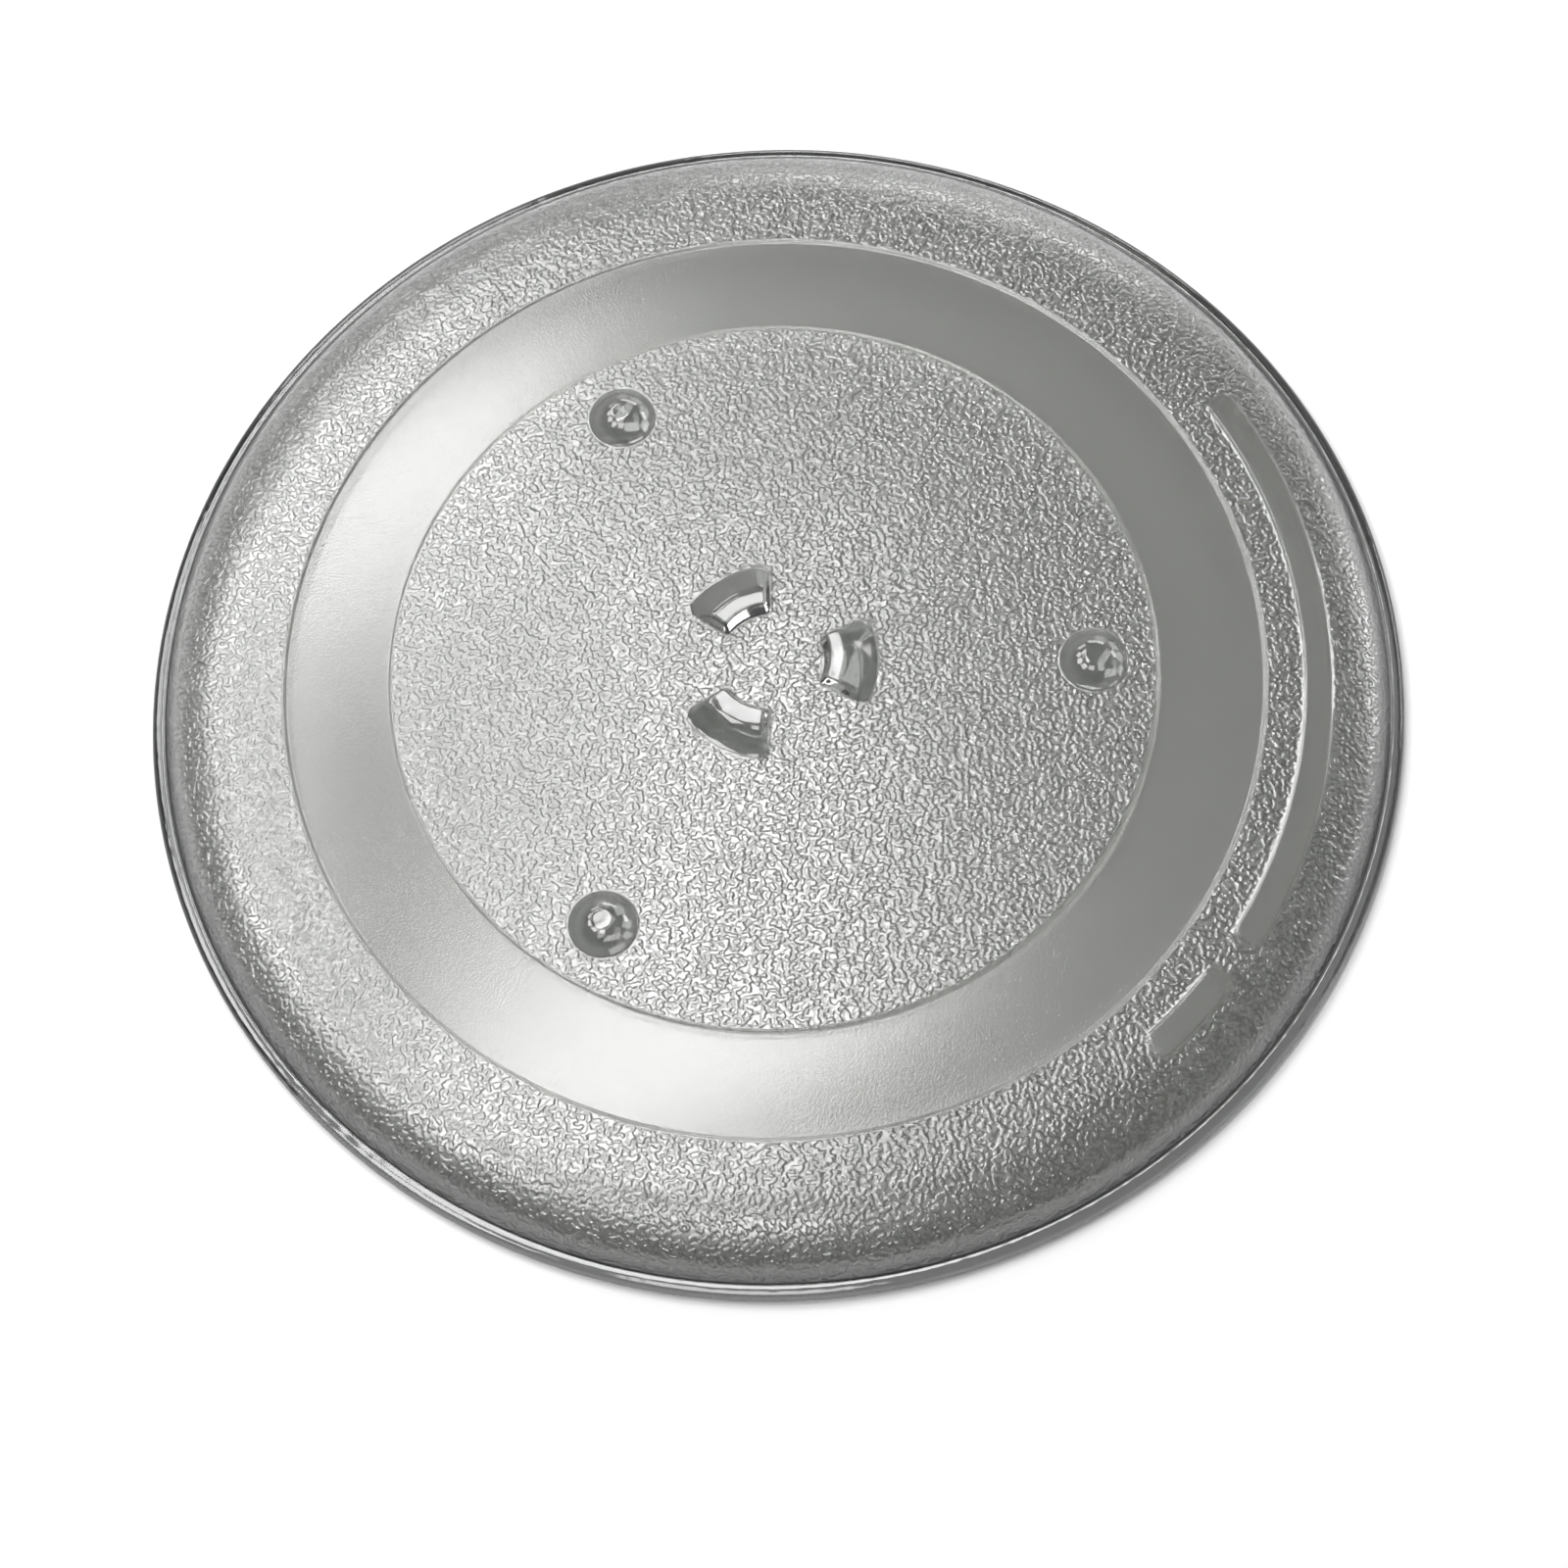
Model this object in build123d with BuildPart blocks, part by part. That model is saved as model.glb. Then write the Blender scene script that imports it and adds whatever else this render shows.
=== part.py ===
from build123d import *
import os
from math import cos, radians, sin, tan

# Pressed-glass turntable plate, lying on its rim with the underside up.
# Millimetres and degrees; the origin is the centre of the rim's rest plane, +Z is the plate's axis.

# Plate: widths across the radius, heights above the rest plane
rim_radius = 144.0
disc_height = 11.8
glass_thickness = 4.4
outer_band_width = 32.6
track_width = 23.9
track_drop = 0.3

# Wall: a shallow slope leaves the level band, a steep one runs down to the rounded lip
slope_angle = 25.0
slope_drop = 3.9
wall_angle = 56.0
slope_bend_radius = 30.0
wall_bend_radius = 5.0
cooking_slope_bend_radius = 25.0
cooking_wall_bend_radius = 3.0
lip_width = 3.3
lip_height = 3.4
lip_edge_radius = 1.6
lip_root_radius = 0.8
rim_inner_radius = 5.0

# Drive lugs: fan-shaped, steep towards the axis, ramped outwards, drafted at the sides
drive_count = 3
lug_inner_radius = 11.8
lug_length = 12.3
lug_spread = 56.0
lug_height = 3.5
lug_inner_run = 1.5
lug_ramp_run = 6.7
lug_side_turn = 4.5
lug_outer_corner = 3.0
lug_inner_corner = 1.2
lug_top_corner = 0.8
lug_edge_radius = 0.6

# Feet: low domes with a flat tip, each on the radial line of a lug
foot_inset = 14.7
foot_radius = 7.6
foot_height = 3.8
foot_tip_radius = 2.25

# Fillet where lugs and feet run out into the disc
root_radius = 0.6

# Bare plaques that stand a little proud of the outer band
plaque_inset = 8.8
plaque_width = 6.2
plaque_rise = 0.25
plaque_corner = 1.5
long_plaque_span = 65.8
long_plaque_turn = 0.0
short_plaque_span = 10.8
short_plaque_turn = -42.4

# Radii and heights that follow from those sizes
track_outer_radius = rim_radius - outer_band_width
disc_radius = track_outer_radius - track_width
foot_circle_radius = disc_radius - foot_inset
plaque_inner_radius = track_outer_radius + plaque_inset
lug_outer_radius = lug_inner_radius + lug_length
track_height = disc_height - track_drop
cooking_height = disc_height - glass_thickness
mid_glass_height = disc_height - glass_thickness / 2


def run(rise, angle):
    """How far a slope goes across while it rises."""
    return rise / tan(radians(angle))


def under(corner, angle_before, angle_after):
    """The cooking face's corner below one of the underside's, a glass thickness from both slopes."""
    bisector = radians((angle_before + angle_after) / 2)
    reach = glass_thickness / cos(radians((angle_after - angle_before) / 2))
    return (corner[0] - reach * sin(bisector), corner[1] - reach * cos(bisector))


def fan(inner_radius, outer_radius, spread, inner_corner, outer_corner):
    """A ring sector about the axis, its middle on +X, with rounded corners."""
    with BuildSketch() as sector:
        with BuildLine():
            inner_arc = CenterArc((0, 0), inner_radius, -spread / 2, spread)
            outer_arc = CenterArc((0, 0), outer_radius, -spread / 2, spread)
            Line(inner_arc @ 0, outer_arc @ 0)
            Line(inner_arc @ 1, outer_arc @ 1)
        make_face()
        fillet(sector.vertices().group_by(Axis.X)[0], inner_corner)
        fillet(sector.vertices().sort_by(Axis.Y)[0], outer_corner)
        fillet(sector.vertices().sort_by(Axis.Y)[-1], outer_corner)
    return sector.sketch


# Corners of the section: the underside from the band to the lip, and the cooking face under it
wall_foot = (rim_radius - lip_width, lip_height)
wall_head_height = disc_height - slope_drop
wall_head = (wall_foot[0] - run(wall_head_height - lip_height, wall_angle), wall_head_height)
band_end = (wall_head[0] - run(slope_drop, slope_angle), disc_height)
cooking_end = under(band_end, 0, slope_angle)
cooking_wall_head = under(wall_head, slope_angle, wall_angle)
cooking_wall_foot = (cooking_wall_head[0] + run(cooking_wall_head[1], wall_angle), 0)

# Lug: its outline on the disc and its small top face, joined by drafted walls
with BuildPart() as lug:
    with BuildSketch(Plane.XY.offset(disc_height)):
        add(fan(lug_inner_radius, lug_outer_radius, lug_spread, lug_inner_corner, lug_outer_corner))
    with BuildSketch(Plane.XY.offset(disc_height + lug_height)):
        add(
            fan(
                lug_inner_radius + lug_inner_run,
                lug_outer_radius - lug_ramp_run,
                lug_spread - 2 * lug_side_turn,
                lug_top_corner,
                lug_top_corner,
            )
        )
    loft(ruled=True)
    fillet(lug.faces().sort_by(Axis.Z)[-1].edges(), lug_edge_radius)

# Foot: a spherical cap, cut off level at its tip, on a root that reaches into the glass
cap_centre_depth = (foot_radius**2 - foot_tip_radius**2 - foot_height**2) / (2 * foot_height)
cap_radius = (foot_radius**2 + cap_centre_depth**2) ** 0.5
with BuildPart() as foot:
    with BuildSketch(Plane.XZ):
        with BuildLine():
            axis_line = Line((0, mid_glass_height), (0, disc_height + foot_height))
            tip = Line(axis_line @ 1, (foot_tip_radius, disc_height + foot_height))
            dome = RadiusArc(tip @ 1, (foot_radius, disc_height), cap_radius)
            root = Line(dome @ 1, (foot_radius, mid_glass_height))
            Line(root @ 1, axis_line @ 0)
        make_face()
    revolve(axis=Axis.Z)

with BuildPart() as plate:
    # The section runs out along the underside, round the lip and back along the cooking face
    with BuildSketch(Plane.XZ):
        with BuildLine():
            wall_line = FilletPolyline(
                (track_outer_radius, disc_height),
                band_end,
                wall_head,
                wall_foot,
                (rim_radius, lip_height),
                (rim_radius, 0),
                cooking_wall_foot,
                cooking_wall_head,
                cooking_end,
                (0, cooking_height),
                radius=(
                    slope_bend_radius,
                    wall_bend_radius,
                    lip_root_radius,
                    lip_edge_radius,
                    lip_edge_radius,
                    rim_inner_radius,
                    cooking_wall_bend_radius,
                    cooking_slope_bend_radius,
                ),
            )
            Polyline(
                wall_line @ 1,
                (0, disc_height),
                (disc_radius, disc_height),
                (disc_radius, track_height),
                (track_outer_radius, track_height),
                wall_line @ 0,
            )
        make_face()
    revolve(axis=Axis.Z)

    # Plaques rise from inside the glass to a level top
    for span, turn in ((long_plaque_span, long_plaque_turn), (short_plaque_span, short_plaque_turn)):
        with BuildSketch(Plane.XY.offset(mid_glass_height).rotated((0, 0, turn))):
            add(
                fan(
                    plaque_inner_radius,
                    plaque_inner_radius + plaque_width,
                    span,
                    plaque_corner,
                    plaque_corner,
                )
            )
        extrude(amount=disc_height + plaque_rise - mid_glass_height)

    with PolarLocations(0, drive_count):
        add(lug.part)
    with PolarLocations(foot_circle_radius, drive_count):
        add(foot.part)

    level_edges = plate.edges().filter_by_position(Axis.Z, disc_height, disc_height)
    fillet(level_edges.filter_by(lambda edge: (edge @ 0).length < disc_radius), root_radius)

plate.part.label = "turntable_plate"
os.makedirs("parts", exist_ok=True)
export_step(plate.part, "parts/turntable_plate.step")
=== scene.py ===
from math import acos, ceil, cos, pi, radians, sin, sqrt, tan

import bpy
import numpy as np
from mathutils import Matrix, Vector
from mathutils.geometry import delaunay_2d_cdt


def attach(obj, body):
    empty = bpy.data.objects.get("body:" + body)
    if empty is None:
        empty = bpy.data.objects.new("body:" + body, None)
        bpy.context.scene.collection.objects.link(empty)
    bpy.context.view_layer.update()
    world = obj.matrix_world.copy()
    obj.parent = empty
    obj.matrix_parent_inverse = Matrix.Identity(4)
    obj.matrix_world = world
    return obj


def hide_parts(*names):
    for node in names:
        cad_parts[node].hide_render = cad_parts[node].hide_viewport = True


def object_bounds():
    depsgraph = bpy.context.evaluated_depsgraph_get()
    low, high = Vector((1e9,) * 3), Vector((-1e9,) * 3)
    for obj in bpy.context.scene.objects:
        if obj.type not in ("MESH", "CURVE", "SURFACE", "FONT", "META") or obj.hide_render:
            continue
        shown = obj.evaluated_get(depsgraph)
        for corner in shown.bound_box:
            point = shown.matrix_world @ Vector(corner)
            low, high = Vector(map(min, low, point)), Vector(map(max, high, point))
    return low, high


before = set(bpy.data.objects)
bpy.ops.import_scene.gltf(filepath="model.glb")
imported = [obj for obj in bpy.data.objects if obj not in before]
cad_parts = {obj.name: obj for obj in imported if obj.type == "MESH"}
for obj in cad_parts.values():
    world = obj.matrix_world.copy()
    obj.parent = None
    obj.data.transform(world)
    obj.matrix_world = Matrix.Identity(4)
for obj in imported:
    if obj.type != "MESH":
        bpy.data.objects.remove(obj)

# Looks of the pressed-glass turntable plate. Sizes are in millimetres and degrees, as in the part's
# source; the mesh, the lamps and the camera are in metres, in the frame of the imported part.
MM = 0.001
NODE = "turntable_plate"
cad_low, cad_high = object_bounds()

# Plate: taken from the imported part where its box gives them
foot_height = 3.8
rim_radius = min(cad_high.x, cad_high.y, -cad_low.x, -cad_low.y) / MM
disc_height = cad_high.z / MM - foot_height
glass_thickness = 4.4
track_outer_radius = 111.4
disc_radius = 87.5
track_drop = 0.3

# Steps at the track's edges: their rounding, how far it runs out, and the section as places across, in
# roundings, with shares of the step's height
step_round = 0.22
step_reach = 3 * step_round
step_section = ((-3, 0.0), (-1.2, 0.06), (-0.45, 0.3), (0.45, 0.7), (1.2, 0.94), (3, 1.0))

# Wall and lip
slope_angle = 25.0
slope_drop = 3.9
wall_angle = 56.0
slope_bend_radius = 30.0
wall_bend_radius = 5.0
cooking_slope_bend_radius = 25.0
cooking_wall_bend_radius = 3.0
lip_width = 3.3
lip_height = 3.4
lip_edge_radius = 1.6
lip_root_radius = 0.8
rim_inner_radius = 5.0
lip_crown = 0.08
lip_crown_steps = 7
level_tolerance = 0.001
bend_arc_step = 2.0
lip_arc_step = 15.0

# Drive lugs
drive_count = 3
lug_inner_radius = 11.8
lug_outer_radius = 24.1
lug_spread = 56.0
lug_height = 3.5
lug_inner_run = 1.5
lug_ramp_run = 6.7
lug_side_turn = 4.5
lug_outer_corner = 3.0
lug_inner_corner = 1.2
lug_top_corner = 0.8

# Search for the height of a lug's wall: lowest and highest share tried, and how often the range is halved
lug_share_range = (-0.6, 1.45)
lug_share_halvings = 22

# Feet
foot_circle_radius = 72.8
foot_radius = 7.6
foot_tip_radius = 2.25
foot_tip_round = 0.12

# Rounding of the lugs' edges and of the roots of lugs and feet
edge_round = 0.6

# Plaques: inner radius, width, rise, and the span and turn of each
plaque_inner_radius = 120.2
plaque_width = 6.2
plaque_rise = 0.25
plaque_corner = 1.5
plaque_edge = 0.2
plaque_spans = ((65.8, 0.0), (10.8, -42.4))

# Stipple: a maze of low islands in the glass, cut from noise, on a faint swell of crossed waves
stipple_size = 1.05
stipple_detail = 0.5
stipple_step = 0.135
stipple_side = 0.18
swell_wavelength = 3.2
swell_waves = 12
swell_step = 0.02
swell_sharpness = 1.2

# Even spread of the swell's waves over lengths and phases
golden_share = 0.618034
plastic_share = 0.754878

# Where the stipple stops: share of a lug's wall below its root, and distances from a foot and from a plaque
lug_bare_start = -0.12
foot_bare_start = 0.3
foot_bare_end = 0.9
plaque_bare_end = 0.6

# Radii between which the band turns into the wall; past them the tint is darker, partly for the longer path
# through the glass and partly as painted shade
steep_start = 134.0
steep_end = 139.0

# Glass: tint, painted shade on the islands' sides, a darker wall that is partly painted shade, refraction,
# grain of the satin track and waviness of the polished parts
glass_tint = (0.6, 0.605, 0.585, 1)
# Painted shade: a dark tint laid on the islands' sides as dark outlines
painted_edge_shade = (0.22, 0.223, 0.213, 1)
clear_tint = (0.42, 0.43, 0.42, 1)
# Darker tint of the wall and lip: partly absorption over the longer path, partly painted shade
wall_absorption_and_shade = (0.2, 0.205, 0.2, 1)
glass_ior = 1.65
stipple_roughness = 0.28
coat_roughness = 0.1
satin_roughness = 0.2
cooking_roughness = 0.03
clear_roughness = 0.08
grain_size = 0.5
grain_step = 0.03
wave_size = 3.0
wave_step = 0.06
noise_turn = (0.6, 0.5, 0.3)

# Mesh: distance between points in the stippled zones, and points round the plate
mesh_step = 1.0
fine_count = 720
coarse_count = fine_count // 3
centre_count = 240
foot_count = 72
row_share = 0.87
ring_gap = 0.15
ring_clearance = 0.3
disc_edge_gap = 1.2
track_ring_count = 7
cooking_ring_shares = (0.75, 0.5, 0.25, 0.08)

# Closer rings round the lugs and on the feet: where they start and end, and the distance between them
centre_zone_radius = 26.0
lug_zone_inner = 10.8
lug_wall_end = 13.8
lug_zone_outer = 25.2
lug_wall_step = 0.2
lug_ramp_step = 0.4
foot_zone_radius = 8.6
foot_tip_rings = (0.6, 1.2, 1.7, 2.0, 2.15, 2.25, 2.35, 2.5)
foot_dome_start = 2.8
foot_root_start = 7.0
foot_dome_step = 0.42
foot_root_step = 0.2

# Finish of a face from its points: satin above a mean share, stippled above a least one. The rings where the
# track's finish ends have a share that makes the faces on the track's side satin and the others not.
satin_mean = 0.5
stipple_least = 0.02
satin_edge = 0.45

# Floor, in metres: the blank white begins and is full at these distances from the middle
floor_color = (0.88, 0.88, 0.88, 1)
floor_roughness = 0.9
floor_half = 3.0
blank_start = 0.17
blank_end = 0.4

# Studio: heights, as the sine of the angle, between which the white horizon fades to the dim room
dim_strength = 0.1
lit_horizon = (0.02, 0.3)
mirrored_horizon = (0.28, 0.58)

# Camera: fitted to the photo's circles, lugs and feet; the distance is in millimetres from the disc's middle
camera_azimuth = 5.64
camera_elevation = 65.75
camera_distance = 641.7
camera_tilt = 2.50
camera_roll = -5.37
camera_lens = 64.72
sensor_width = 36.0


def run(rise, angle):
    """How far a slope goes across while it rises."""
    return rise / tan(radians(angle))


def under(corner, angle_before, angle_after):
    """The cooking face's corner below one of the underside's, a glass thickness from both slopes."""
    bisector = radians((angle_before + angle_after) / 2)
    reach = glass_thickness / cos(radians((angle_after - angle_before) / 2))
    return (corner[0] - reach * sin(bisector), corner[1] - reach * cos(bisector))


def rounded(corners, radii, arc_step):
    """Points along a line through the corners, with an arc of the given radius at each inner corner."""
    corners = [np.array(corner, float) for corner in corners]
    points = [corners[0]]
    for before, corner, after, radius in zip(corners, corners[1:], corners[2:], radii):
        toward = (corner - before) / np.linalg.norm(corner - before)
        away = (after - corner) / np.linalg.norm(after - corner)
        turn = acos(float(toward @ away))
        side = np.sign(toward[0] * away[1] - toward[1] * away[0])
        start = corner - toward * radius * tan(turn / 2)
        inward = side * np.array((-toward[1], toward[0]))
        for share in np.linspace(0, 1, ceil(np.degrees(turn) / arc_step) + 1):
            angle = turn * share
            points.append(start + radius * (toward * sin(angle) + inward * (1 - cos(angle))))
    points.append(corners[-1])
    return np.array(points)


def spaced(line, step):
    """The same line with its points at even distances."""
    length = np.r_[0, np.cumsum(np.hypot(*np.diff(line, axis=0).T))]
    places = np.linspace(0, length[-1], ceil(length[-1] / step) + 1)
    return np.c_[np.interp(places, length, line[:, 0]), np.interp(places, length, line[:, 1])]


def smooth_min(a, b, width):
    """The lower of two heights, with a rounded corner where they meet."""
    return np.minimum(a, b) - np.maximum(width - np.abs(a - b), 0) ** 2 / (4 * width)


def smooth_max(a, b, width):
    """The higher of two heights, with a rounded corner where they meet."""
    return -smooth_min(-a, -b, width)


def fade(value, start, end):
    """Rises smoothly from 0 at start to 1 at end."""
    share = np.clip((value - start) / (end - start), 0, 1)
    return share * share * (3 - 2 * share)


def swell(x, y):
    """Faint swell under the stipple: waves of about one length, laid across each other."""
    total = np.zeros_like(x)
    for index in range(swell_waves):
        golden = (index * golden_share) % 1
        angle = pi * (index + 0.5 * golden) / swell_waves
        length = swell_wavelength * (0.75 + 0.6 * golden)
        phase = 2 * pi * ((index * plastic_share) % 1)
        total += np.cos(2 * pi * (x * cos(angle) + y * sin(angle)) / length + phase)
    return swell_step * np.tanh(swell_sharpness * total * sqrt(2 / swell_waves))


def fan_gap(radius, angle, inner, outer, half_spread, inner_corner, outer_corner):
    """Distance to a ring sector's rounded outline, negative inside it."""
    corner = np.where(radius < (inner + outer) / 2, inner_corner, outer_corner)
    across = np.maximum(inner - radius, radius - outer) + corner
    side = radius * np.sin(np.radians(np.abs(angle) - half_spread)) + corner
    outside = np.hypot(np.maximum(across, 0), np.maximum(side, 0))
    return outside + np.minimum(np.maximum(across, side), 0) - corner


def polar(x, y, turn=0.0):
    """Radius and angle in degrees, the angle counted from the turned X axis."""
    return np.hypot(x, y), (np.degrees(np.arctan2(y, x)) - turn + 180) % 360 - 180


def lug_share(x, y, turn):
    """Share of a lug's height at which its wall stands over each point: 0 at the root, 1 at the top."""
    radius, angle = polar(x, y, turn)
    low = np.full_like(x, lug_share_range[0])
    high = np.full_like(x, lug_share_range[1])
    for _ in range(lug_share_halvings):
        share = (low + high) / 2
        gap = fan_gap(
            radius,
            angle,
            lug_inner_radius + lug_inner_run * share,
            lug_outer_radius - lug_ramp_run * share,
            lug_spread / 2 - lug_side_turn * share,
            lug_inner_corner + (lug_top_corner - lug_inner_corner) * share,
            lug_outer_corner + (lug_top_corner - lug_outer_corner) * share,
        )
        inside = gap < 0
        low = np.where(inside, share, low)
        high = np.where(inside, high, share)
    return low


def lug_rise(x, y):
    """Height of the lugs over the disc and how far the disc's stipple is smoothed away round them."""
    share = np.max([lug_share(x, y, 360 / drive_count * k) for k in range(drive_count)], axis=0)
    rise = smooth_min(lug_height * share, lug_height, edge_round)
    return smooth_max(rise, 0, edge_round), fade(share, lug_bare_start, 0.0)


def foot_centres():
    """Centres of the feet, each on the radial line of a lug."""
    angles = 2 * pi * np.arange(drive_count) / drive_count
    return np.c_[foot_circle_radius * np.cos(angles), foot_circle_radius * np.sin(angles)]


def foot_rise(x, y):
    """Height of the feet over the disc, and how far they smooth the stipple away."""
    cap_depth = (foot_radius**2 - foot_tip_radius**2 - foot_height**2) / (2 * foot_height)
    cap_radius = sqrt(foot_radius**2 + cap_depth**2)
    gap = np.min([np.hypot(x - cx, y - cy) for cx, cy in foot_centres()], axis=0)
    dome = np.sqrt(np.maximum(cap_radius**2 - gap**2, 0)) - cap_depth
    dome = np.where(gap < cap_radius, dome, -cap_depth)
    rise = smooth_min(dome, foot_height, foot_tip_round)
    bare = 1 - fade(gap, foot_radius + foot_bare_start, foot_radius + foot_bare_end)
    return smooth_max(rise, 0, edge_round), bare


def disc_points():
    """Plan positions of the disc's points: rings about the axis, closer round the lugs and on the feet."""
    rings = [np.zeros((1, 2))]

    def ring(radius, count, centre=(0, 0)):
        angles = 2 * pi * (np.arange(count) + 0.5 * (len(rings) % 2)) / count
        rings.append(np.c_[centre[0] + radius * np.cos(angles), centre[1] + radius * np.sin(angles)])

    def main_rings(start, end):
        for radius in np.linspace(start, end, ceil((end - start) / (row_share * mesh_step))):
            ring(radius, round(2 * pi * radius / mesh_step))

    main_rings(mesh_step, lug_zone_inner - mesh_step / 2)
    wall_rings = np.arange(lug_zone_inner, lug_wall_end, lug_wall_step)
    ramp_rings = np.arange(lug_wall_end, lug_zone_outer, lug_ramp_step)
    for radius in np.r_[wall_rings, ramp_rings]:
        ring(radius, centre_count)
    main_rings(centre_zone_radius, disc_radius - disc_edge_gap)
    ring(disc_radius - step_reach - ring_gap, 2 * coarse_count)
    points = np.concatenate(rings)
    for centre in foot_centres():
        points = points[np.hypot(*(points - centre).T) > foot_zone_radius + mesh_step / 2]
    rings = [points]
    for centre in foot_centres():
        rings.append(np.array([centre]))
        dome_rings = np.arange(foot_dome_start, foot_root_start, foot_dome_step)
        root_rings = np.arange(foot_root_start, foot_zone_radius, foot_root_step)
        for radius in np.r_[foot_tip_rings, dome_rings, root_rings]:
            ring(radius, foot_count, centre)
    return np.concatenate(rings)


class Surface:
    """Points, triangles and finish values of the mesh as it grows."""

    def __init__(self):
        self.points = []
        self.faces = []
        self.stipple = []
        self.satin = []
        self.cooking = []
        self.count = 0

    def add(self, points, stipple_share=0.0, satin_share=0.0, cooking_share=0.0):
        """Adds points with their share of each finish and gives the numbers they have got."""
        start = self.count
        self.points.append(points)
        self.stipple.append(np.broadcast_to(stipple_share, len(points)))
        self.satin.append(np.broadcast_to(satin_share, len(points)))
        self.cooking.append(np.broadcast_to(cooking_share, len(points)))
        self.count += len(points)
        return np.arange(start, self.count)

    def finishes(self, faces):
        """Material number of each face: stippled, satin, cooking face or clear."""
        stippled = np.concatenate(self.stipple)[faces].max(axis=1) > stipple_least
        satin = np.concatenate(self.satin)[faces].mean(axis=1) > satin_mean
        cooking = np.concatenate(self.cooking)[faces].min(axis=1) > 0.5
        return np.select([satin, stippled, cooking], [1, 0, 2], 3)

    def join(self, first, second):
        """Triangles between two rings, the second outwards of the first on the upper side."""
        if len(first) == len(second):
            a, b = first, np.roll(first, -1)
            c, d = second, np.roll(second, -1)
            self.faces.append(np.c_[a, c, d])
            self.faces.append(np.c_[a, d, b])
            return
        if len(first) > len(second):
            fine, coarse, flip = first, second, True
        else:
            fine, coarse, flip = second, first, False
        each = len(fine) // len(coarse)
        for k in range(each):
            start = fine[k::each]
            end = np.roll(fine, -1)[k::each]
            corner = coarse if k <= each // 2 else np.roll(coarse, -1)
            self.faces.append(np.c_[corner, start, end] if not flip else np.c_[start, corner, end])
        middle = np.roll(fine, -(each // 2 + 1))[0::each]
        bridge = np.c_[coarse, middle, np.roll(coarse, -1)]
        self.faces.append(bridge if not flip else np.c_[middle, coarse, np.roll(coarse, -1)])


def circle(radius, height, count):
    """A level ring of points about the axis."""
    angles = 2 * pi * np.arange(count) / count
    return np.c_[radius * np.cos(angles), radius * np.sin(angles), np.broadcast_to(height, count)]


def step_line(radius, inner_height, outer_height):
    """Section points of a small step in height, with rounded corners."""
    rise = outer_height - inner_height
    return [(radius + across * step_round, inner_height + share * rise) for across, share in step_section]



def add_disc(surface):
    """The stippled disc with its lugs and feet; gives its outer ring."""
    plan = disc_points()
    edge = circle(disc_radius - step_reach, disc_height, coarse_count)
    x, y = np.r_[edge[:, 0], plan[:, 0]], np.r_[edge[:, 1], plan[:, 1]]
    lugs, lug_smooth = lug_rise(x, y)
    feet, foot_smooth = foot_rise(x, y)
    share = (1 - lug_smooth) * (1 - foot_smooth)
    share[: len(edge)] = 0
    satin = np.zeros_like(x)
    satin[: len(edge)] = satin_edge
    height = disc_height + lugs + feet + swell(x, y) * share
    numbers = surface.add(np.c_[x, y, height], share, satin)
    loop = [(k, (k + 1) % coarse_count) for k in range(coarse_count)]
    flat = [(float(u), float(v)) for u, v in zip(x, y)]
    made = delaunay_2d_cdt(flat, loop, [], 0, 1e-7, False)
    surface.faces.append(numbers[np.array(made[2])])
    return numbers[: len(edge)]


def add_track(surface, ring):
    """The smooth roller track between two small steps; gives its outer ring."""
    track_height = disc_height - track_drop
    line = step_line(disc_radius, disc_height, track_height)[1:]
    level = np.linspace(disc_radius, track_outer_radius, track_ring_count)[1:-1]
    line += [(radius, track_height) for radius in level]
    line += step_line(track_outer_radius, track_height, disc_height)
    for k, (radius, height) in enumerate(line):
        satin = 1.0 if k < len(line) - 1 else satin_edge
        following = surface.add(circle(radius, height, coarse_count), 0.0, satin)
        surface.join(ring, following)
        ring = following
    return ring


def section_corners():
    """Corners of the section from the track's outer edge round the lip to the axis."""
    wall_foot = (rim_radius - lip_width, lip_height)
    wall_head_height = disc_height - slope_drop
    wall_head = (wall_foot[0] - run(wall_head_height - lip_height, wall_angle), wall_head_height)
    band_end = (wall_head[0] - run(slope_drop, slope_angle), disc_height)
    cooking_end = under(band_end, 0, slope_angle)
    cooking_wall_head = under(wall_head, slope_angle, wall_angle)
    cooking_wall_foot = (cooking_wall_head[0] + run(cooking_wall_head[1], wall_angle), 0)
    outer = [(track_outer_radius + step_reach, disc_height), band_end, wall_head, wall_foot]
    lip = [wall_head, wall_foot, (rim_radius, lip_height), (rim_radius, 0), cooking_wall_foot]
    lip += [cooking_wall_head, cooking_end, (0, cooking_end[1])]
    return outer, lip


def plaque_shares(x, y):
    """How far each point is on a bare plaque, and how far it is clear of the stipple there, from 0 to 1."""
    nearest = np.full_like(x, rim_radius)
    for span, turn in plaque_spans:
        radius, angle = polar(x, y, turn)
        gap = fan_gap(
            radius,
            angle,
            plaque_inner_radius,
            plaque_inner_radius + plaque_width,
            span / 2,
            plaque_corner,
            plaque_corner,
        )
        nearest = np.minimum(nearest, gap)
    return 1 - fade(nearest, -plaque_edge, plaque_edge), 1 - fade(nearest, plaque_edge, plaque_bare_end)


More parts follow.
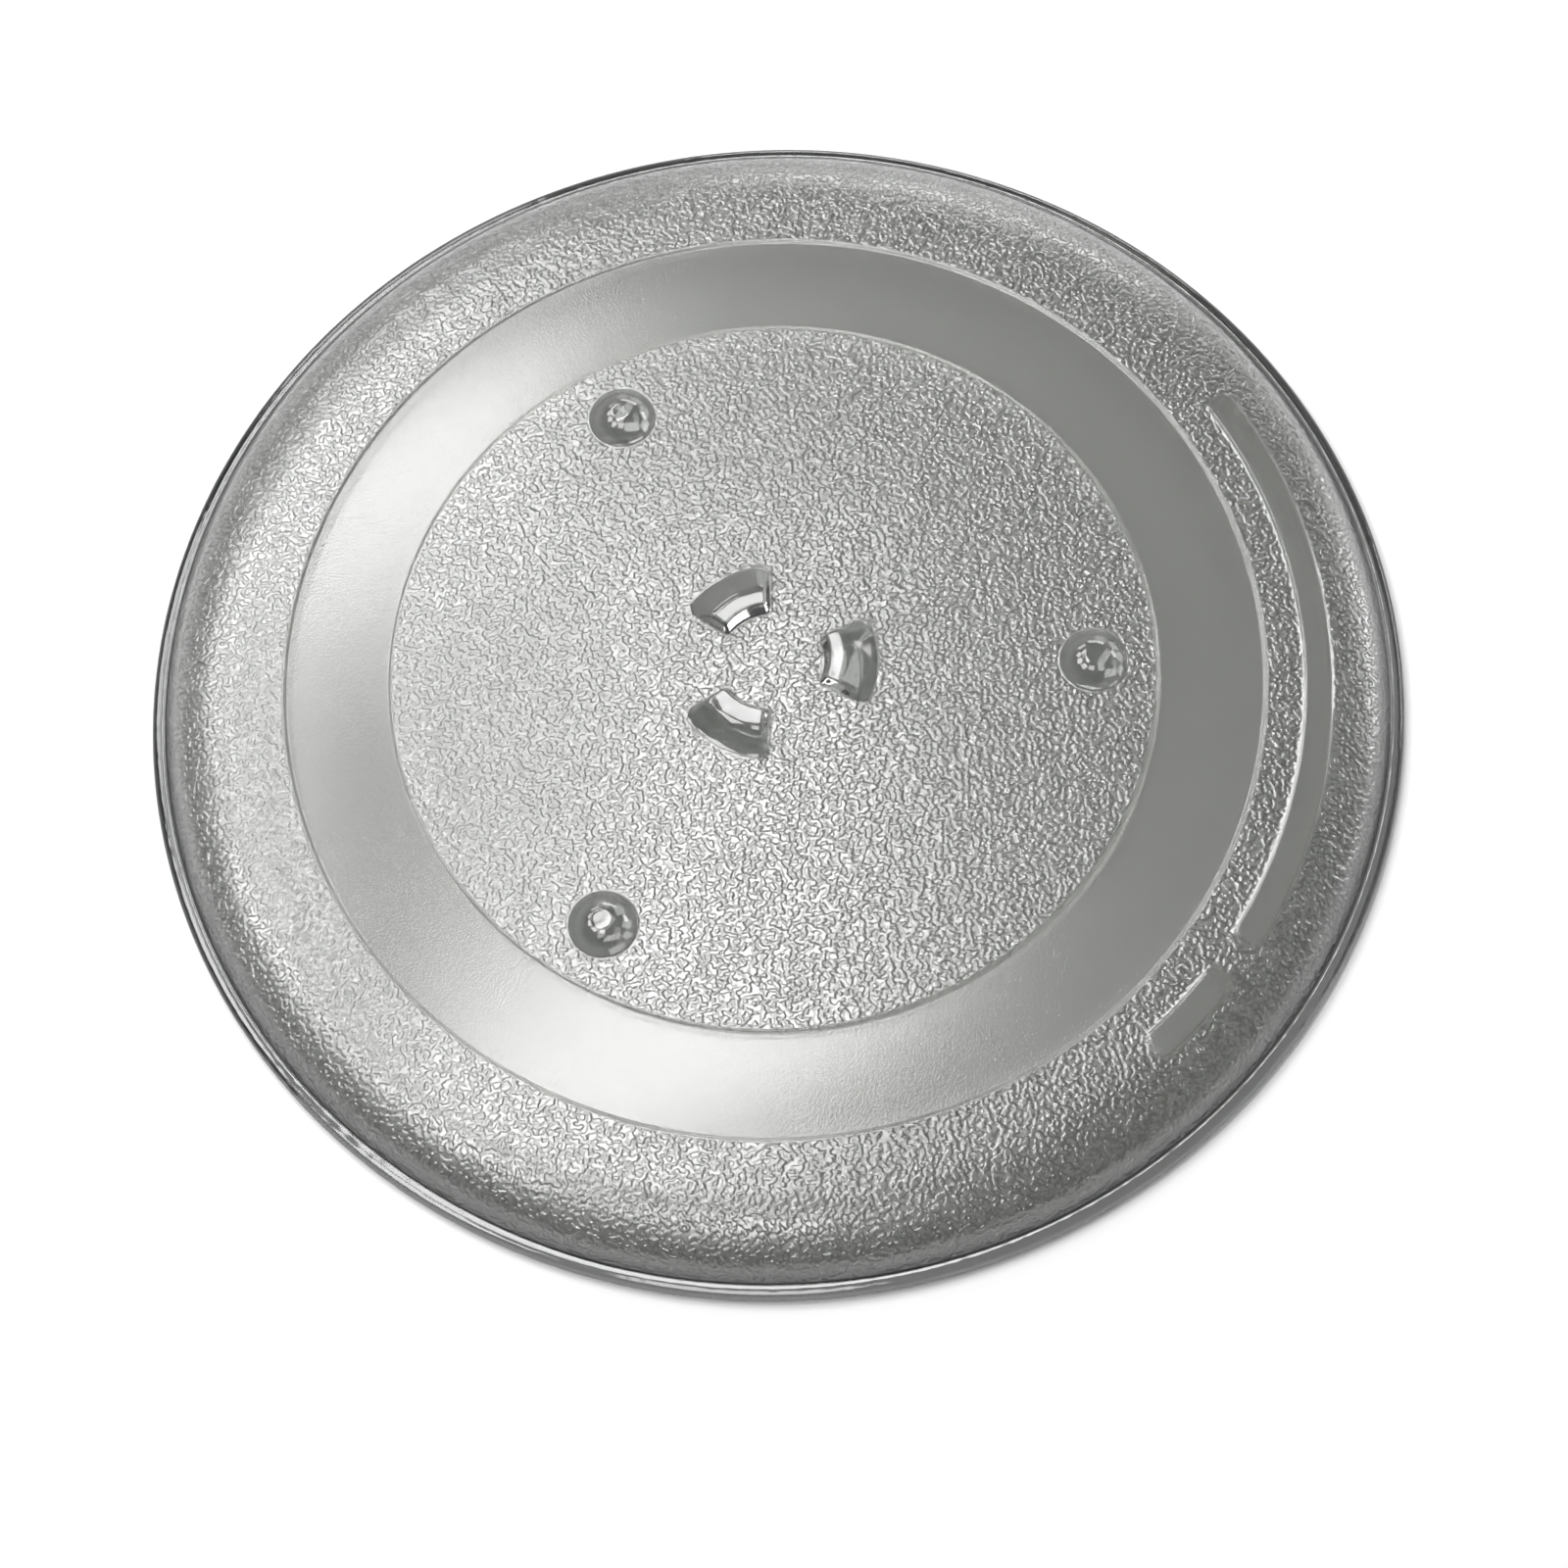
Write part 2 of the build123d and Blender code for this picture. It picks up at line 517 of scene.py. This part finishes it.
def add_band(surface, ring, outer):
    """The stippled band, slope and wall; gives the ring at the lip's root."""
    line = rounded(outer, (slope_bend_radius, wall_bend_radius), bend_arc_step)
    end = np.array(outer[-1]) - np.array(outer[-2])
    end = np.array(outer[-1]) - end / np.linalg.norm(end) * lip_root_radius * tan(radians(wall_angle / 2))
    line[-1] = end
    line = spaced(line, mesh_step)
    inner, outside = plaque_inner_radius, plaque_inner_radius + plaque_width
    extra = np.array([edge + side for edge in (inner, outside) for side in (-plaque_edge, plaque_edge)])
    apart = np.min(np.abs(line[:, :1] - extra), axis=1) > ring_clearance
    line = np.concatenate([line[apart], np.c_[extra, np.interp(extra, line[:, 0], line[:, 1])]])
    line = line[np.argsort(line[:, 0])]
    line[0, 0] += ring_gap
    for k, (radius, height) in enumerate(line):
        points = circle(radius, height, fine_count)
        plaque, bare = plaque_shares(points[:, 0], points[:, 1])
        share = (1 - bare) * (0 if k == len(line) - 1 else 1)
        top = np.maximum(points[:, 2], disc_height + plaque_rise)
        points[:, 2] = points[:, 2] * (1 - plaque) + top * plaque + swell(points[:, 0], points[:, 1]) * share
        following = surface.add(points, share, plaque)
        surface.join(ring, following)
        ring = following
    return ring


def add_lip(surface, ring, lip):
    """The smooth lip, the inside of the rim and the cooking face, closed at the axis."""
    radii = (
        lip_root_radius,
        lip_edge_radius,
        lip_edge_radius,
        rim_inner_radius,
        cooking_wall_bend_radius,
        cooking_slope_bend_radius,
    )
    line = rounded(lip, radii, lip_arc_step)[2:-1]
    level = np.flatnonzero(np.abs(line[:, 1] - lip_height) < level_tolerance)[:2]
    share = np.linspace(0, 1, lip_crown_steps)[1:-1, None]
    crown = line[level[0]] + (line[level[1]] - line[level[0]]) * share
    crown[:, 1] += lip_crown * 4 * share[:, 0] * (1 - share[:, 0])
    line = np.concatenate([line[: level[1]], crown, line[level[1] :]])
    inner_end = line[-1]
    cooking_radius = lip[-4][0]
    line = np.concatenate([line, [(inner_end[0] * share, inner_end[1]) for share in cooking_ring_shares]])
    for radius, height in line:
        count = fine_count if radius >= inner_end[0] else coarse_count
        following = surface.add(circle(radius, height, count), cooking_share=float(radius < cooking_radius))
        surface.join(ring, following)
        ring = following
    centre = surface.add(np.array([(0, 0, inner_end[1])]), cooking_share=1.0)
    surface.faces.append(np.c_[ring, np.full_like(ring, centre[0]), np.roll(ring, -1)])


def make_plate():
    """The whole plate as one closed mesh."""
    surface = Surface()
    outer, lip = section_corners()
    ring = add_disc(surface)
    ring = add_track(surface, ring)
    ring = add_band(surface, ring, outer)
    add_lip(surface, ring, lip)
    mesh = bpy.data.meshes.new("plate_glass")
    points = np.concatenate(surface.points) * MM
    faces = np.concatenate(surface.faces)
    mesh.from_pydata(points.tolist(), [], faces.tolist())
    mesh.validate()
    shares = mesh.attributes.new("stipple", "FLOAT", "POINT")
    shares.data.foreach_set("value", np.concatenate(surface.stipple).astype(np.float32))
    radius = np.hypot(*np.concatenate(surface.points)[:, :2].T)
    # Share of the darker wall tint, partly absorption and partly painted shade, rising across the wall
    wall_darkening = mesh.attributes.new("wall_darkening", "FLOAT", "POINT")
    wall_darkening.data.foreach_set("value", fade(radius, steep_start, steep_end).astype(np.float32))
    mesh.polygons.foreach_set("material_index", surface.finishes(faces).astype(np.int32))
    for material in (stippled_glass(), satin_glass(), cooking_glass(), clear_glass()):
        mesh.materials.append(material)
    mesh.shade_smooth()
    plate = bpy.data.objects.new("plate_glass", mesh)
    bpy.context.scene.collection.objects.link(plate)
    return plate


def link(tree, source, target):
    """Joins an output to an input."""
    tree.links.new(source, target)


def math_node(tree, operation, first, second):
    """A Math node on sockets or numbers; gives its output."""
    node = tree.nodes.new("ShaderNodeMath")
    node.operation = operation
    for socket, value in zip(node.inputs, (first, second)):
        if isinstance(value, (int, float)):
            socket.default_value = value
        else:
            link(tree, value, socket)
    return node.outputs[0]


def range_node(tree, value, start, end, low, high):
    """A smooth Map Range node; gives its output."""
    node = tree.nodes.new("ShaderNodeMapRange")
    node.interpolation_type = "SMOOTHSTEP"
    link(tree, value, node.inputs["Value"])
    for name, number in (("From Min", start), ("From Max", end), ("To Min", low), ("To Max", high)):
        node.inputs[name].default_value = number
    return node.outputs["Result"]


def length_node(tree, vector):
    """The length of a vector socket."""
    node = tree.nodes.new("ShaderNodeVectorMath")
    node.operation = "LENGTH"
    link(tree, vector, node.inputs[0])
    return node.outputs["Value"]


def attribute_node(tree, name):
    """A mesh attribute's value."""
    node = tree.nodes.new("ShaderNodeAttribute")
    node.attribute_name = name
    return node.outputs["Fac"]


def mix_node(tree, share, first, second):
    """A colour between two colours or colour sockets; gives its output."""
    node = tree.nodes.new("ShaderNodeMix")
    node.data_type = "RGBA"
    link(tree, share, node.inputs["Factor"])
    for socket, value in zip((s for s in node.inputs if s.type == "RGBA"), (first, second)):
        if isinstance(value, tuple):
            socket.default_value = value
        else:
            link(tree, value, socket)
    return next(s for s in node.outputs if s.type == "RGBA")


def glass(name, roughness, tint):
    """Grey pressed glass with a faint green tint; gives the material, its node tree and its shader."""
    material = bpy.data.materials.new(name)
    material.use_nodes = True
    shader = material.node_tree.nodes["Principled BSDF"]
    shader.inputs["Base Color"].default_value = tint
    shader.inputs["Transmission Weight"].default_value = 1.0
    shader.inputs["IOR"].default_value = glass_ior
    shader.inputs["Roughness"].default_value = roughness
    return material, material.node_tree, shader


def bump_node(tree, shader, height, distance):
    """Bumps a shader by a height from 0 to 1, scaled to millimetres; gives the new normal."""
    bump = tree.nodes.new("ShaderNodeBump")
    bump.inputs["Distance"].default_value = distance * MM
    link(tree, height, bump.inputs["Height"])
    link(tree, bump.outputs["Normal"], shader.inputs["Normal"])
    return bump.outputs["Normal"]


def noise_node(tree, size, detail=0.0):
    """Soft noise with features of the given size, its grid turned so that no face lies along it."""
    turned = tree.nodes.new("ShaderNodeMapping")
    turned.inputs["Rotation"].default_value = noise_turn
    link(tree, tree.nodes.new("ShaderNodeTexCoord").outputs["Object"], turned.inputs["Vector"])
    noise = tree.nodes.new("ShaderNodeTexNoise")
    noise.inputs["Scale"].default_value = 1 / (size * MM)
    noise.inputs["Detail"].default_value = detail
    link(tree, turned.outputs["Vector"], noise.inputs["Vector"])
    return noise.outputs["Fac"]


def stippled_glass():
    """The maze of low islands on the disc and the outer band, fire-polished, with painted shade on their
    sides, and a darker tint on the wall, partly for the longer path through the glass and partly as painted
    shade.
    """
    material, tree, shader = glass("stippled_glass", stipple_roughness, glass_tint)
    shader.inputs["Coat Weight"].default_value = 1.0
    shader.inputs["Coat Roughness"].default_value = coat_roughness
    shader.inputs["Coat IOR"].default_value = glass_ior
    field = noise_node(tree, stipple_size, stipple_detail)
    island = range_node(tree, field, 0.5 - stipple_side, 0.5 + stipple_side, 0, 1)
    share = attribute_node(tree, "stipple")
    normal = bump_node(tree, shader, math_node(tree, "MULTIPLY", island, share), stipple_step)
    link(tree, normal, shader.inputs["Coat Normal"])
    # Painted shade: the islands' sides, where the island share runs between 0 and 1, get the dark outline
    # tint
    fall = math_node(tree, "SUBTRACT", 4.0, math_node(tree, "MULTIPLY", island, 4.0))
    side = math_node(tree, "MULTIPLY", island, fall)
    side = math_node(tree, "MULTIPLY", side, share)
    # Darker tint on the wall, partly absorption and partly painted shade
    color = mix_node(tree, attribute_node(tree, "wall_darkening"), glass_tint, wall_absorption_and_shade)
    link(tree, mix_node(tree, side, color, painted_edge_shade), shader.inputs["Base Color"])
    return material


def satin_glass():
    """The finely etched roller track and the bare plaques."""
    material, tree, shader = glass("satin_glass", satin_roughness, glass_tint)
    bump_node(tree, shader, noise_node(tree, grain_size), grain_step)
    return material


def cooking_glass():
    """The polished cooking face."""
    return glass("cooking_glass", cooking_roughness, glass_tint)[0]


def clear_glass():
    """Polished lugs, feet and lip, a little wavy from the mould; the lip darker, partly for the longer path
    through the glass and partly as painted shade.
    """
    material, tree, shader = glass("clear_glass", clear_roughness, clear_tint)
    # Darker tint on the lip, partly absorption and partly painted shade
    color = mix_node(tree, attribute_node(tree, "wall_darkening"), clear_tint, wall_absorption_and_shade)
    link(tree, color, shader.inputs["Base Color"])
    bump_node(tree, shader, noise_node(tree, wave_size), wave_step)
    return material


def make_floor():
    """A plain white floor: lit by the lamps near the plate, blank white farther off."""
    material = bpy.data.materials.new("floor_white")
    material.use_nodes = True
    tree = material.node_tree
    shader = tree.nodes["Principled BSDF"]
    shader.inputs["Base Color"].default_value = floor_color
    shader.inputs["Roughness"].default_value = floor_roughness
    shader.inputs["Specular IOR Level"].default_value = 0.0
    blank = tree.nodes.new("ShaderNodeEmission")
    rays = tree.nodes.new("ShaderNodeLightPath").outputs
    seen = math_node(tree, "MAXIMUM", rays["Is Camera Ray"], rays["Is Glossy Ray"])
    seen = math_node(tree, "MAXIMUM", seen, rays["Is Transmission Ray"])
    place = length_node(tree, tree.nodes.new("ShaderNodeTexCoord").outputs["Object"])
    far = range_node(tree, place, blank_start, blank_end, 0, 1)
    mix = tree.nodes.new("ShaderNodeMixShader")
    link(tree, math_node(tree, "MULTIPLY", seen, far), mix.inputs[0])
    link(tree, shader.outputs[0], mix.inputs[1])
    link(tree, blank.outputs[0], mix.inputs[2])
    link(tree, mix.outputs[0], tree.nodes["Material Output"].inputs["Surface"])
    mesh = bpy.data.meshes.new("floor")
    corners = [(x * floor_half, y * floor_half, 0) for x, y in ((-1, -1), (1, -1), (1, 1), (-1, 1))]
    mesh.from_pydata(corners, [], [(0, 1, 2, 3)])
    mesh.materials.append(material)
    floor = bpy.data.objects.new("floor", mesh)
    bpy.context.scene.collection.objects.link(floor)


def make_lamp(name, direction, place, size, radiance, roll=0.0):
    """A soft lamp on a plane that faces the plate's middle: direction gives the plane's compass angle,
    height angle and distance, place the lamp's offset across and up on that plane."""
    azimuth, elevation, distance = direction
    data = bpy.data.lights.new(name, "AREA")
    data.shape = "RECTANGLE"
    data.size, data.size_y = size
    data.energy = radiance * pi * size[0] * size[1]
    lamp = bpy.data.objects.new(name, data)
    turn = Matrix.Rotation(radians(azimuth + 90), 4, "Z") @ Matrix.Rotation(radians(90 - elevation), 4, "X")
    spot = Matrix.Translation((place[0], place[1], distance)) @ Matrix.Rotation(radians(roll), 4, "Z")
    lamp.matrix_world = turn @ spot
    bpy.context.scene.collection.objects.link(lamp)


def make_world():
    """A dim studio with a white horizon, which polished glass mirrors higher up than it lights."""
    world = bpy.data.worlds.new("studio")
    world.use_nodes = True
    tree = world.node_tree
    shader = tree.nodes["Background"]
    shader.inputs["Color"].default_value = (1, 1, 1, 1)
    upward = tree.nodes.new("ShaderNodeSeparateXYZ")
    link(tree, tree.nodes.new("ShaderNodeTexCoord").outputs["Generated"], upward.inputs[0])
    lit = range_node(tree, upward.outputs["Z"], *lit_horizon, 1, dim_strength)
    mirrored = range_node(tree, upward.outputs["Z"], *mirrored_horizon, 1, dim_strength)
    rays = tree.nodes.new("ShaderNodeLightPath").outputs
    seen = math_node(tree, "MAXIMUM", rays["Is Glossy Ray"], rays["Is Transmission Ray"])
    strength = math_node(tree, "MAXIMUM", lit, math_node(tree, "MULTIPLY", mirrored, seen))
    link(tree, strength, shader.inputs["Strength"])
    bpy.context.scene.world = world


def make_camera():
    """A camera where the photo was taken from."""
    data = bpy.data.cameras.new("camera")
    data.sensor_width = sensor_width
    data.lens = camera_lens
    camera = bpy.data.objects.new("camera", data)
    turn = Matrix.Rotation(radians(camera_azimuth), 4, "Z")
    lean = Matrix.Rotation(radians(90 - camera_elevation), 4, "X")
    place = turn @ lean @ Matrix.Translation((0, 0, camera_distance * MM))
    look = Matrix.Rotation(radians(90 - camera_elevation - camera_tilt), 4, "X")
    aim = turn @ look @ Matrix.Rotation(radians(camera_roll), 4, "Z")
    aim.translation = place.translation
    aim.translation.z += disc_height * MM
    camera.matrix_world = aim
    bpy.context.scene.collection.objects.link(camera)
    bpy.context.scene.camera = camera


plate = make_plate()
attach(plate, "root")
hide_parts(NODE)
make_floor()

# The first four lamps are mirrored in the level glass, the others in the slopes
above = (95.6, 65.75, 1.5)
make_lamp("key", above, (0.02, 0.1), (0.2, 0.4), 11)
make_lamp("key_far", above, (0.38, -0.21), (0.5, 0.28), 10)
make_lamp("key_left", above, (0.56, 0.08), (0.2, 0.3), 6)
make_lamp("key_near", above, (0.25, 0.43), (0.6, 0.28), 9.5, 45)
make_lamp("near", (258, 70, 1.5), (0, 0), (0.4, 0.4), 7)
make_lamp("front", (206, 62, 1.6), (0, 0), (0.4, 0.4), 9)
make_lamp("left", (172, 54, 1.6), (0, 0), (0.4, 0.4), 9)
make_lamp("far_left", (146, 46, 1.6), (0, 0), (0.4, 0.35), 8)
make_lamp("far", (118, 34, 1.6), (0, 0), (0.5, 0.25), 6)
make_lamp("low", (80, 26, 1.6), (0, 0), (0.9, 0.25), 6)
make_lamp("right", (27, 24, 1.6), (0, 0), (0.5, 0.3), 7)

make_world()
make_camera()
bpy.context.scene.view_settings.view_transform = "Standard"
